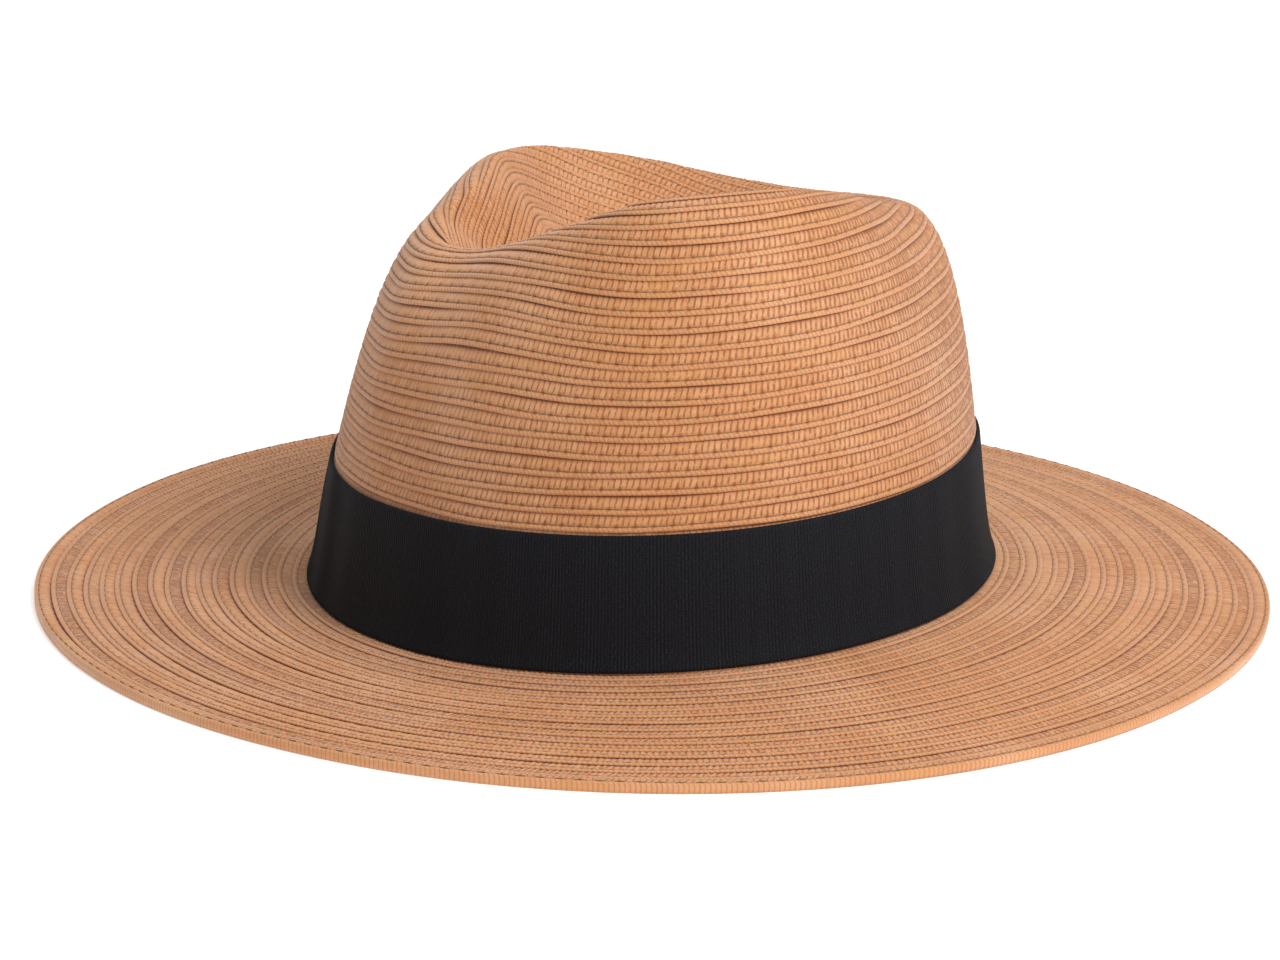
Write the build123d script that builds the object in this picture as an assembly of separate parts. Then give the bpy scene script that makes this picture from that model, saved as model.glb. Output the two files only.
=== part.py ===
from build123d import *
import math
import os

# Straw hat with a pinched crown, a wide brim and a grosgrain band.
# Frame: millimetres, +Z up, the hat stands on its brim edge at z = 0.
# The front of the hat faces -Y and the wearer's left is +X.
# Every horizontal section is a ring of points r(angle), where the angle is
# measured from the front towards the wearer's left.

# ---- driving dimensions -------------------------------------------------
HEAD_LENGTH = 207.8        # outside of the braid at the headline, front to back
HEAD_WIDTH = 176.2         # outside of the braid at the headline, side to side
HEADLINE_HEIGHT = 7.7      # headline above the brim edge, at the centre line
HEADLINE_RISE = 5.0        # how much higher the headline lies on the wearer's left
BRIM_WIDTH = 71.5          # from the headline to the brim edge, all round
BRAID_THICKNESS = 1.8      # two overlapping braid rows
BRIM_SAG = 1.25            # exponent of the brim's slope, 1 = straight

# crown wall
WALL_BEND_HEIGHT = 40.0    # height of the wall's lower bend above the headline
WALL_BEND_INSET = 3.4      # how far the wall leans in by that height
BREAK_FLARE = 2.0          # outward flare of the wall where it meets the brim
BREAK_HEIGHT = 5.0         # height over which that flare dies away
SHOULDER = 17.8            # half-width of the rounding outside the crest

# crown crest: angle from the front in degrees, radius, height above the brim edge.
# The front prow is highest, the pinch on the wearer's right is lowest.
CREST = (
    (0, 74, 117.5), (15, 70.5, 116.5), (30, 65.5, 113), (50, 61, 107),
    (75, 63.5, 101), (100, 65.5, 97), (130, 65.5, 94), (150, 68.5, 95),
    (165, 68.5, 98.5), (180, 66.5, 102), (195, 60, 105.5), (210, 51.5, 107.5),
    (225, 46, 108.5), (240, 44, 106.5), (255, 46, 103.5), (268, 52.5, 100),
    (278, 55.5, 98.5), (288, 59, 96.5), (300, 58, 97), (315, 61, 101.5),
    (330, 65.5, 108), (345, 71, 115),
)
CREST_ROLL = 5.0           # how far the inside of the crest runs on before it dives
CREST_DIP = 1.0            # how much it drops over that distance
DENT_SLOPE_REACH = 22.0    # horizontal reach of the dent's steep wall
DENT_HEIGHT = 82.0         # height of the dent's floor above the brim edge
DENT_UNDERCUT = 6.0        # pull of the dent's wall below its floor
DENT_SHIFT = (-4.0, -2.0)  # centre of the dent from the hat's centre
DENT_CAP_RADIUS = 3.0      # flat button at the start of the braid

# brim edge
HEM_WIDTH = 5.5            # outermost braid row, folded round the wire
HEM_THICKNESS = 2.6
WIRE_DIAMETER = 1.2
WIRE_CLEARANCE = 0.2       # braid to wire, all round
WIRE_EDGE_DISTANCE = 2.4   # wire centre to the brim edge
SLEEVE_DIAMETER = 1.9
SLEEVE_LENGTH = 24.0
SLEEVE_ANGLE = 180.0       # the wire is joined at the back
SLEEVE_STEPS = 6           # stretches its centre line is drawn in

# ribbon
RIBBON_WIDTH = 32.5
RIBBON_THICKNESS = 0.8
RIBBON_LIFT = 0.6          # ribbon's lower edge above the brim
RIBBON_CLEARANCE = 0.3     # ribbon to braid
JOIN_ANGLE = 140.0         # the ribbon's ends overlap behind the wearer's left ear
JOIN_SPAN = 18.0           # angle covered by the overlapping end
JOIN_STITCHES = 7          # stitches down the overlapping end
STITCH_ROW = 0.38          # where they stand across the overlap, 0 = middle, 0.5 = its end
STITCH_LENGTH = 2.6
THREAD_DIAMETER = 0.5

# sweatband
SWEAT_HEIGHT = 30.0
SWEAT_THICKNESS = 1.0
SWEAT_CLEARANCE = 0.3
SWEAT_LIFT = 0.8
SEAM_HEIGHT = 3.0          # sewing line above the sweatband's lower edge
TAPE_ANGLE = 180.0         # the sweatband's ends meet at the back
TAPE_SPAN = 9.0            # angle covered by the tape over that join
TAPE_THICKNESS = 0.6
LABEL_ANGLE = 200.0
LABEL_SPAN = 17.0
LABEL_HEIGHT = 17.0
LABEL_LIFT = 8.0           # above the sweatband's lower edge
LABEL_THICKNESS = 0.4
LAYER_GAP = 0.05           # between glued or stitched layers

# ---- how finely the rings are drawn --------------------------------------
RING_POINTS = 48
WALL_STEPS = (0.0, 0.02, 0.045, 0.08, 0.12, 0.18, 0.26, 0.38, 0.5, 0.65, 0.8, 0.9, 1.0)
DENT_STEPS = (0.1, 0.2, 0.35, 0.5, 0.65, 0.8)
BRIM_STEPS = (0.12, 0.3, 0.5, 0.7, 0.85, 1.0)
BAND_STEPS = (0.0, 0.06, 0.14, 0.25, 0.4, 0.6, 0.8, 1.0)
HALVINGS = 30              # steps of the search for a height on the wall


# ---- outlines --------------------------------------------------------------
def oval(angle, length, width):
    """Radius of an ellipse, length along Y and width along X, in a direction."""
    along = math.cos(angle) * 2.0 / length
    across = math.sin(angle) * 2.0 / width
    return 1.0 / math.hypot(along, across)


def crest(angle):
    """Crest radius and height in a direction, a smooth closed curve through CREST."""
    degrees = math.degrees(angle) % 360.0
    count = len(CREST)
    index = max(i for i in range(count) if CREST[i][0] <= degrees)
    keys = [CREST[(index + step) % count] for step in (-1, 0, 1, 2)]
    start = keys[1][0]
    span = (keys[2][0] - start) % 360.0
    u = (degrees - start) / span
    before = span / (2.0 * ((start - keys[0][0]) % 360.0))
    after = span / (2.0 * ((keys[3][0] - keys[2][0]) % 360.0))
    values = []
    for column in (1, 2):
        p0, p1, p2, p3 = (key[column] for key in keys)
        leave = (p2 - p1) * 0.5 + (p1 - p0) * before
        arrive = (p2 - p1) * 0.5 + (p3 - p2) * after
        values.append(
            (2 * u**3 - 3 * u**2 + 1) * p1
            + (u**3 - 2 * u**2 + u) * leave
            + (3 * u**2 - 2 * u**3) * p2
            + (u**3 - u**2) * arrive
        )
    return values


def headline_height(x):
    """Height of the headline, a plane that rises towards the wearer's left."""
    return HEADLINE_HEIGHT + HEADLINE_RISE * x / (HEAD_WIDTH / 2)


def bezier(t, points):
    """Point on a cubic curve with four control points."""
    s = 1.0 - t
    weights = (s**3, 3 * s * s * t, 3 * s * t * t, t**3)
    return [sum(w * p[i] for w, p in zip(weights, points)) for i in (0, 1)]


def wall_point(t, angle, inset):
    """Crown wall from the headline (t = 0) to the crest (t = 1), inset inwards."""
    base = oval(angle, HEAD_LENGTH, HEAD_WIDTH) - BREAK_FLARE
    top, height = crest(angle)
    foot = headline_height(base * math.sin(angle))
    bend = foot + WALL_BEND_HEIGHT
    controls = (
        (base, foot), (base - WALL_BEND_INSET, bend), (top + SHOULDER, height), (top, height),
    )
    radius, z = bezier(t, controls)
    flare = BREAK_FLARE * math.exp(-(z - foot) / BREAK_HEIGHT)
    lowered = inset * t * t
    return radius + flare - inset * (1.0 - t**3), z - lowered


def dent_point(t, angle, inset):
    """Dent from the crest (t = 0) down to its centre (t = 1)."""
    top, height = crest(angle)
    controls = (
        (top, height), (top - CREST_ROLL, height - CREST_DIP),
        (top - DENT_SLOPE_REACH, DENT_HEIGHT - DENT_UNDERCUT), (0.0, DENT_HEIGHT),
    )
    radius, z = bezier(t, controls)
    return radius, z - inset


def place(radius, z, angle, shift=0.0):
    """Point at a radius, height and direction, moved towards the dent's centre."""
    x = radius * math.sin(angle) + DENT_SHIFT[0] * shift
    y = -radius * math.cos(angle) + DENT_SHIFT[1] * shift
    return Vector(x, y, z)


def directions():
    return [2 * math.pi * i / RING_POINTS for i in range(RING_POINTS)]


def ring(point_at):
    """Closed smooth wire through one point per direction."""
    points = [point_at(angle) for angle in directions()]
    return Wire([Edge.make_spline(points, periodic=True)])


def stack(rings):
    """Closed solid whose wall joins the rings in order."""
    return Solid.make_loft(rings, ruled=True)


# ---- crown -------------------------------------------------------------------
def crown_rings(inset, below):
    rings = []
    if below > 0.0:
        rings.append(ring(lambda a: drop(wall_place(0.0, a, inset), below)))
    for t in WALL_STEPS:
        rings.append(ring(lambda a, t=t: wall_place(t, a, inset)))
    for t in DENT_STEPS:
        rings.append(ring(lambda a, t=t: dent_place(t, a, inset)))
    flat = DENT_HEIGHT - inset
    rings.append(ring(lambda a: place(DENT_CAP_RADIUS, flat, a, 1.0)))
    return rings


def wall_place(t, angle, inset):
    radius, z = wall_point(t, angle, inset)
    if t == 0.0:
        z = headline_height(radius * math.sin(angle))
    return place(radius, z, angle)


def dent_place(t, angle, inset):
    radius, z = dent_point(t, angle, inset)
    return place(radius, z, angle, t)


def drop(point, amount):
    return Vector(point.X, point.Y, point.Z - amount)


def make_crown():
    outer = stack(crown_rings(0.0, 0.0))
    inner = stack(crown_rings(BRAID_THICKNESS, BRAID_THICKNESS))
    return outer - inner


# ---- brim --------------------------------------------------------------------
def brim_point(u, angle, raise_by):
    """Brim from the headline (u = 0) to the edge (u = 1)."""
    start = oval(angle, HEAD_LENGTH, HEAD_WIDTH)
    radius = start + BRIM_WIDTH * u
    top = headline_height(start * math.sin(angle))
    edge = BRAID_THICKNESS
    z = edge + (top - edge) * (1.0 - u**BRIM_SAG)
    return place(radius, z + raise_by, angle)


def hole_point(angle, raise_by):
    radius = oval(angle, HEAD_LENGTH, HEAD_WIDTH) - BRAID_THICKNESS
    z = headline_height(radius * math.sin(angle))
    return place(radius, z + raise_by, angle)


def brim_rings(raise_by, reach):
    rings = [ring(lambda a: hole_point(a, raise_by)), ring(lambda a: brim_point(0.0, a, raise_by))]
    for step in BRIM_STEPS:
        rings.append(ring(lambda a, u=step * reach: brim_point(u, a, raise_by)))
    return rings


def annulus(top_rings, bottom_rings):
    """Solid between an upper and a lower stack of rings, open in the middle."""
    faces = []
    loop = top_rings + bottom_rings[::-1]
    for first, second in zip(loop, loop[1:] + loop[:1]):
        faces.append(Face.make_surface_from_curves(first.edges()[0], second.edges()[0]))
    return Solid(Shell(faces))


def make_brim():
    reach = 1.0 - (HEM_WIDTH + LAYER_GAP) / BRIM_WIDTH
    return annulus(brim_rings(0.0, reach), brim_rings(-BRAID_THICKNESS, reach))


def edge_ring(from_edge, z):
    """Ring parallel to the brim edge, at a distance inside it."""
    def point(angle):
        radius = oval(angle, HEAD_LENGTH, HEAD_WIDTH) + BRIM_WIDTH - from_edge
        return place(radius, z, angle)
    return ring(point)


def wire_radius(angle):
    return oval(angle, HEAD_LENGTH, HEAD_WIDTH) + BRIM_WIDTH - WIRE_EDGE_DISTANCE


def wire_point(angle):
    return place(wire_radius(angle), HEM_THICKNESS / 2, angle)


def wire_path():
    """Centre line of the whole brim wire."""
    return Edge.make_spline([wire_point(angle) for angle in directions()], periodic=True)


def sleeve_path():
    """Centre line of the stretch of wire that the joining sleeve covers."""
    middle = math.radians(SLEEVE_ANGLE)
    span = SLEEVE_LENGTH / wire_radius(middle)
    shares = [i / SLEEVE_STEPS - 0.5 for i in range(SLEEVE_STEPS + 1)]
    return Edge.make_spline([wire_point(middle + span * share) for share in shares])


def tube_along(path, radius):
    """Round bar along a curve."""
    start = Plane(origin=path @ 0, z_dir=path % 0)
    section = Face(Wire([Edge.make_circle(radius, start)]))
    return Solid.sweep(section, path)


def make_hem():
    """Outermost braid row with the channel for the wire and its sleeve."""
    underside = Face(edge_ring(0.0, 0.0), [edge_ring(HEM_WIDTH, 0.0)])
    row = extrude(underside, amount=HEM_THICKNESS, dir=(0, 0, 1))
    channel = tube_along(wire_path(), WIRE_DIAMETER / 2 + WIRE_CLEARANCE)
    pocket = tube_along(sleeve_path(), SLEEVE_DIAMETER / 2 + LAYER_GAP)
    return row - channel - pocket


def make_wire():
    return tube_along(wire_path(), WIRE_DIAMETER / 2)


def make_sleeve():
    """Tube over the wire's two ends."""
    bore = tube_along(sleeve_path(), WIRE_DIAMETER / 2 + LAYER_GAP)
    return tube_along(sleeve_path(), SLEEVE_DIAMETER / 2) - bore


# ---- bands that follow the crown wall -----------------------------------------
def wall_radius(angle, above):
    """Outside radius of the crown wall at a height above the headline."""
    low, high = 0.0, 1.0
    foot = wall_point(0.0, angle, 0.0)[1]
    for _ in range(HALVINGS):
        middle = (low + high) / 2
        if wall_point(middle, angle, 0.0)[1] - foot < above:
            low = middle
        else:
            high = middle
    return wall_point(low, angle, 0.0)[0]


def band_ring(above, outwards):
    """Ring at a height above the headline, offset from the crown wall."""
    def point(angle):
        radius = wall_radius(angle, above) + outwards
        foot = headline_height(radius * math.sin(angle))
        return place(radius, foot + above, angle)
    return ring(point)


def band(bottom, width, inner, outer):
    """Closed band between two offsets from the crown wall."""
    levels = [bottom + width * step for step in BAND_STEPS]
    outside = [band_ring(above, outer) for above in levels]
    inside = [band_ring(above, inner) for above in levels]
    return annulus(outside, inside)


def sector(middle, span):
    """Wedge that covers a range of directions in degrees."""
    reach = HEAD_LENGTH
    top = max(height for _, _, height in CREST)
    edges = [math.radians(middle + span * side) for side in (-0.5, 0.0, 0.5)]
    corners = [(reach * math.sin(a), -reach * math.cos(a)) for a in edges]
    outline = Wire.make_polygon([(0.0, 0.0), *corners], close=True)
    return extrude(Face(outline), amount=top)


def make_ribbon():
    inner = RIBBON_CLEARANCE
    return band(RIBBON_LIFT, RIBBON_WIDTH, inner, inner + RIBBON_THICKNESS)


def make_ribbon_end():
    """The ribbon's outer end, lapped over its own beginning."""
    inner = RIBBON_CLEARANCE + RIBBON_THICKNESS + LAYER_GAP
    layer = band(RIBBON_LIFT, RIBBON_WIDTH, inner, inner + RIBBON_THICKNESS)
    return layer & sector(JOIN_ANGLE, JOIN_SPAN)


def make_ribbon_stitches():
    """Row of short stitches down the lapped end."""
    lapped = RIBBON_CLEARANCE + 2 * RIBBON_THICKNESS + LAYER_GAP
    angle = math.radians(JOIN_ANGLE + JOIN_SPAN * STITCH_ROW)
    pitch = RIBBON_WIDTH / JOIN_STITCHES
    stitches = []
    for i in range(JOIN_STITCHES):
        above = RIBBON_LIFT + pitch * (i + 0.5)
        ends = []
        for side in (-0.5, 0.5):
            level = above + STITCH_LENGTH * side
            radius = wall_radius(angle, level) + lapped + THREAD_DIAMETER / 2 + LAYER_GAP
            ends.append(place(radius, headline_height(radius * math.sin(angle)) + level, angle))
        stitches.append(tube_along(Edge.make_line(*ends), THREAD_DIAMETER / 2))
    return Compound(children=stitches)


# ---- inside the crown ------------------------------------------------------------
def sweat_outside():
    """Offset of the sweatband's outer face from the crown wall's outside."""
    return -(BRAID_THICKNESS + SWEAT_CLEARANCE)


def make_sweatband():
    outer = sweat_outside()
    return band(SWEAT_LIFT, SWEAT_HEIGHT, outer - SWEAT_THICKNESS, outer)


def lining_patch(bottom, height, thickness, middle, span):
    """Flat piece on the inner face of the sweatband."""
    outer = sweat_outside() - SWEAT_THICKNESS - LAYER_GAP
    return band(bottom, height, outer - thickness, outer) & sector(middle, span)


def make_seam_tape():
    bottom = SWEAT_LIFT + SEAM_HEIGHT + THREAD_DIAMETER
    height = SWEAT_HEIGHT - SEAM_HEIGHT - THREAD_DIAMETER
    return lining_patch(bottom, height, TAPE_THICKNESS, TAPE_ANGLE, TAPE_SPAN)


def make_label():
    bottom = SWEAT_LIFT + LABEL_LIFT
    return lining_patch(bottom, LABEL_HEIGHT, LABEL_THICKNESS, LABEL_ANGLE, LABEL_SPAN)


def make_sweatband_stitching():
    """Sewing thread that runs round the sweatband's lower edge."""
    above = SWEAT_LIFT + SEAM_HEIGHT
    inwards = sweat_outside() - SWEAT_THICKNESS - LAYER_GAP - THREAD_DIAMETER / 2

    def point(angle):
        radius = wall_radius(angle, above) + inwards
        return place(radius, headline_height(radius * math.sin(angle)) + above, angle)

    path = Edge.make_spline([point(angle) for angle in directions()], periodic=True)
    return tube_along(path, THREAD_DIAMETER / 2)


# ---- write one file per piece --------------------------------------------------------
PIECES = {
    "crown_braid": make_crown,
    "brim_braid": make_brim,
    "brim_edge_braid": make_hem,
    "brim_edge_wire": make_wire,
    "wire_joining_sleeve": make_sleeve,
    "ribbon_band": make_ribbon,
    "ribbon_lapped_end": make_ribbon_end,
    "ribbon_join_stitches": make_ribbon_stitches,
    "sweatband": make_sweatband,
    "sweatband_seam_tape": make_seam_tape,
    "sweatband_stitching": make_sweatband_stitching,
    "size_label": make_label,
}

os.makedirs("parts", exist_ok=True)
for name, make in PIECES.items():
    export_step(make(), f"parts/{name}.step")
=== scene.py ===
# %% [markdown]
# # A straw hat sewn from paper braid
#
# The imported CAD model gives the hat's true size and place. This script gives it its looks: rows of
# braid that overlap like roof tiles, their sewing thread, a ribbed ribbon, the lining band and the
# light. Everything is in metres, in the CAD's own frame: the hat stands on its brim edge at z = 0,
# its front faces -Y and the wearer's left is +X.

# %% Load the frame
import math

import bpy
import numpy as np
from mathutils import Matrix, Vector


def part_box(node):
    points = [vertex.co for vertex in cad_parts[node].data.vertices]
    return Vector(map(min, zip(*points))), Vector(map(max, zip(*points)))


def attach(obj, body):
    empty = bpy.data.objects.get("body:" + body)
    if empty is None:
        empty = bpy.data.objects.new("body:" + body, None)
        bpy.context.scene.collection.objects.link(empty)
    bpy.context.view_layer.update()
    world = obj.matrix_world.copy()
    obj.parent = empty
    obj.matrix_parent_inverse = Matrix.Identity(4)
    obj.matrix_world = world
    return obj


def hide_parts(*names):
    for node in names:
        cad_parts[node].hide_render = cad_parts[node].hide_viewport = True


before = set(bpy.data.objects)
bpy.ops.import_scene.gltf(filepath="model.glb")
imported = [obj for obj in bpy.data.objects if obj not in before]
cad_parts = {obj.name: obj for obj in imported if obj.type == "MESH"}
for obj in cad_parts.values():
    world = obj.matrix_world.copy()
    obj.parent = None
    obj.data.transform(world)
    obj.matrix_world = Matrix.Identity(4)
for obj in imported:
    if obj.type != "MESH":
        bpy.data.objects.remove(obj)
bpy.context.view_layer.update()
print("CAD nodes:", sorted(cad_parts))

# %% [markdown]
# ## The camera
#
# The camera comes first, because every later choice is judged through it. It stands a little over
# arm's length away, to the wearer's right of the front, and looks slightly down on the hat. A long
# lens keeps the ellipse of the brim undistorted.

# %% Camera
MM = 0.001
CAMERA_AZIMUTH = math.radians(-13.6)
CAMERA_ELEVATION = math.radians(16.07)
CAMERA_DISTANCE = 1.2
LENS = 128.8
SENSOR_WIDTH = 36.0
NEAREST_SEEN = 0.05
AIM_HEIGHT = 26.3 * MM
AIM_SIDE = 2.3 * MM


def axis_directions(azimuth, elevation):
    """Right, up and backward directions of a camera: back = (sin a cos e, -cos a cos e, sin e)."""
    right = np.array([math.cos(azimuth), math.sin(azimuth), 0.0])
    back = np.array([
        math.sin(azimuth) * math.cos(elevation),
        -math.cos(azimuth) * math.cos(elevation),
        math.sin(elevation),
    ])
    return right, np.cross(back, right), back


def add_object(name, data):
    """A new object in the scene, at the origin and unturned."""
    thing = bpy.data.objects.new(name, data)
    bpy.context.scene.collection.objects.link(thing)
    return thing


def aim_object(thing, place, aim):
    """Puts a camera or a light at a place and turns it towards another."""
    thing.location = place
    look = Vector(aim) - Vector(place)
    thing.rotation_euler = look.to_track_quat("-Z", "Y").to_euler()
    return thing


def make_camera():
    """A camera some way along the backward direction, aimed just above the hat's base centre."""
    right, up, back = axis_directions(CAMERA_AZIMUTH, CAMERA_ELEVATION)
    place = back * CAMERA_DISTANCE
    aim = up * AIM_HEIGHT - right * AIM_SIDE
    data = bpy.data.cameras.new("camera")
    data.lens = LENS
    data.sensor_width = SENSOR_WIDTH
    data.clip_start = NEAREST_SEEN
    camera = aim_object(add_object("camera", data), place, aim)
    bpy.context.scene.camera = camera
    return camera


camera = make_camera()
print("camera at", [round(c, 3) for c in camera.location])

# %% [markdown]
# ## The crown as a surface
#
# A real crown starts as a plain dome of sewn rows and is then pressed by hand into a shape with a
# front ridge, a pinch at the side and a dent on top. It could be sculpted, but a formula keeps
# every row at its true spacing: each direction round the hat has one profile, a curve that climbs
# the wall, rolls over the crest and sinks into the dent. The crest's own path round the hat is a
# smooth closed curve through a few listed points.

# %% Sizes that the crown and the brim share
crown_low, crown_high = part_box("crown_braid")
HEAD_LENGTH = crown_high.y - crown_low.y
HEAD_WIDTH = crown_high.x - crown_low.x
HEADLINE_HEIGHT = 7.7 * MM
HEADLINE_RISE = 4.8 * MM
HEADLINE_DIP = 1.4 * MM
BRIM_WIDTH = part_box("brim_edge_braid")[1].x - crown_high.x
BRAID_THICKNESS = 1.8 * MM
BRIM_SAG = 1.25

WALL_BEND_HEIGHT = 40.0 * MM
WALL_BEND_INSET = 3.4 * MM
BREAK_FLARE = 2.0 * MM
BREAK_HEIGHT = 5.0 * MM
SHOULDER = 17.8 * MM

# angle from the front in degrees, radius and height in millimetres
CREST = np.array((
    (0, 74, 117.5), (15, 70.5, 116.5), (30, 65.5, 113), (50, 61, 107),
    (75, 63.5, 101), (100, 65.5, 97), (130, 65.5, 94), (150, 68.5, 95),
    (165, 68.5, 98.5), (180, 66.5, 102), (195, 60, 105.5), (210, 51.5, 107.5),
    (225, 46, 108.5), (240, 44, 106.5), (255, 46, 103.5), (268, 52.5, 100),
    (278, 55.5, 98.5), (288, 59, 96.5), (300, 58, 97), (315, 61, 101.5),
    (330, 65.5, 108), (345, 71, 115),
), float)
CREST_ROLL = 5.0 * MM
CREST_DIP = 1.0 * MM
DENT_SLOPE_REACH = 22.0 * MM
DENT_HEIGHT = 82.0 * MM
DENT_UNDERCUT = 6.0 * MM
DENT_SHIFT = np.array((-4.0, -2.0)) * MM
print("headline", round(HEAD_LENGTH, 4), round(HEAD_WIDTH, 4), "brim", round(BRIM_WIDTH, 4))


# %% Crown profile functions
def oval(angle, length, width):
    """Radius of an ellipse in a direction: 1 / sqrt((2 cos/length)^2 + (2 sin/width)^2)."""
    return 1.0 / np.hypot(np.cos(angle) * 2.0 / length, np.sin(angle) * 2.0 / width)


def crest(angle):
    """Crest radius and height: a cubic Hermite curve through CREST, closed round the hat."""
    degrees = np.degrees(angle) % 360.0
    keys = CREST[:, 0]
    count = len(keys)
    here = (np.searchsorted(keys, degrees, side="right") - 1) % count
    span = (keys[(here + 1) % count] - keys[here]) % 360.0
    u = (degrees - keys[here]) / span
    before = span / (2.0 * ((keys[here] - keys[here - 1]) % 360.0))
    after = span / (2.0 * ((keys[(here + 2) % count] - keys[(here + 1) % count]) % 360.0))
    out = []
    for column in (1, 2):
        v = CREST[:, column] * MM
        p0, p1, p2, p3 = v[here - 1], v[here], v[(here + 1) % count], v[(here + 2) % count]
        leave = (p2 - p1) * 0.5 + (p1 - p0) * before
        arrive = (p2 - p1) * 0.5 + (p3 - p2) * after
        out.append(
            (2 * u**3 - 3 * u**2 + 1) * p1 + (u**3 - 2 * u**2 + u) * leave
            + (3 * u**2 - 2 * u**3) * p2 + (u**3 - u**2) * arrive
        )
    return out


def headline_height(x):
    """Height of the headline: it rises towards the wearer's left and dips a little at both sides."""
    side = x / (HEAD_WIDTH / 2)
    return HEADLINE_HEIGHT + HEADLINE_RISE * side - HEADLINE_DIP * side * side


def bezier(t, p0, p1, p2, p3):
    """Cubic curve: the sum of its four control values with Bernstein weights."""
    s = 1.0 - t
    return s**3 * p0 + 3 * s * s * t * p1 + 3 * s * t * t * p2 + t**3 * p3


def wall_profile(t, angle):
    """Radius and height of the crown wall, headline at t = 0, crest at t = 1, with the flared foot."""
    base = oval(angle, HEAD_LENGTH, HEAD_WIDTH) - BREAK_FLARE
    top, height = crest(angle)
    foot = headline_height(base * np.sin(angle))
    radius = bezier(t, base, base - WALL_BEND_INSET, top + SHOULDER, top)
    z = bezier(t, foot, foot + WALL_BEND_HEIGHT, height, height)
    return radius + BREAK_FLARE * np.exp(-(z - foot) / BREAK_HEIGHT), z


def dent_profile(t, angle):
    """Radius and height of the dent, crest at t = 0, the middle of its floor at t = 1."""
    top, height = crest(angle)
    radius = bezier(t, top, top - CREST_ROLL, top - DENT_SLOPE_REACH, 0.0)
    z = bezier(t, height, height - CREST_DIP, DENT_HEIGHT - DENT_UNDERCUT, DENT_HEIGHT)
    return radius, z


# %% [markdown]
# ## Surfaces that count rows
#
# The rows need the surface and its outward direction at thousands of places. Working out a profile
# for each would be slow, so the surface is worked out once on a fine grid, and every later point is
# read from that grid by blending its four neighbours. The grid's second direction counts braid
# rows, not millimetres: on the wall the rows run level with the headline, and inside the dent they
# close in on the point where the braid starts.

# %% A surface grid that can be read anywhere
GRID_ANGLES = 1440
GRID_STEPS = 800


def run_lengths(points):
    """Arc length along axis 1 of a grid, from its first column."""
    gaps = np.linalg.norm(np.diff(points, axis=1), axis=2)
    return np.concatenate([np.zeros((len(points), 1)), np.cumsum(gaps, axis=1)], axis=1)


def outward(points):
    """Unit normals of a grid that is closed round axis 0: cross product of its two directions."""
    around = np.roll(points, -1, axis=0) - np.roll(points, 1, axis=0)
    along = np.gradient(points, axis=1)
    normal = np.cross(along, around)
    return normal / (np.linalg.norm(normal, axis=2, keepdims=True) + 1e-12)


class Surface:
    """A closed-round grid of points and normals, read by direction and by a row count from 0 to rows."""

    def __init__(self, points, count, rows):
        self.rows = rows
        wanted = np.linspace(0.0, rows, GRID_STEPS)
        self.points = np.stack([
            np.stack([np.interp(wanted, c, p[:, k]) for k in range(3)], axis=-1)
            for c, p in zip(count, points)
        ])
        self.normals = outward(self.points)

    def read(self, angle, row):
        """Point and normal at any direction and row: the four nearest grid values, blended."""
        a = (angle / (2 * np.pi) % 1.0) * len(self.points)
        f = np.clip(row / self.rows, 0.0, 1.0) * (GRID_STEPS - 1)
        i = np.floor(a).astype(int)
        j = np.minimum(np.floor(f).astype(int), GRID_STEPS - 2)
        u = (a - i)[..., None]
        v = (f - j)[..., None]
        i0, i1 = i % len(self.points), (i + 1) % len(self.points)
        results = []
        for grid in (self.points, self.normals):
            low = grid[i0, j] * (1 - u) + grid[i1, j] * u
            high = grid[i0, j + 1] * (1 - u) + grid[i1, j + 1] * u
            results.append(low * (1 - v) + high * v)
        return results


# %% The crown's grid and its row count
ROW_PITCH = 4.28 * MM
CROWN_ROWS = 43
WALL_SAMPLES = 400
DENT_SAMPLES = 300

# the rows are steered upwards in front of the pinch
RISE = 4.2 * MM
RISE_MIDDLE = math.radians(-45.0)
RISE_REACH = math.radians(36.0)
RISE_START = 40.0 * MM
RISE_SPAN = 50.0 * MM


def smooth_step(x):
    """0 below 0, 1 above 1 and 3x^2 - 2x^3 between."""
    x = np.clip(x, 0.0, 1.0)
    return x * x * (3.0 - 2.0 * x)


def row_rise(angle, height):
    """How much a row is pushed up near the pinch: a raised cosine round the hat, growing upwards."""
    turn = (angle - RISE_MIDDLE + np.pi) % (2 * np.pi) - np.pi
    share = 0.5 + 0.5 * np.cos(np.pi * np.clip(turn / RISE_REACH, -1.0, 1.0))
    return RISE * share * smooth_step((height - RISE_START) / RISE_SPAN)


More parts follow.
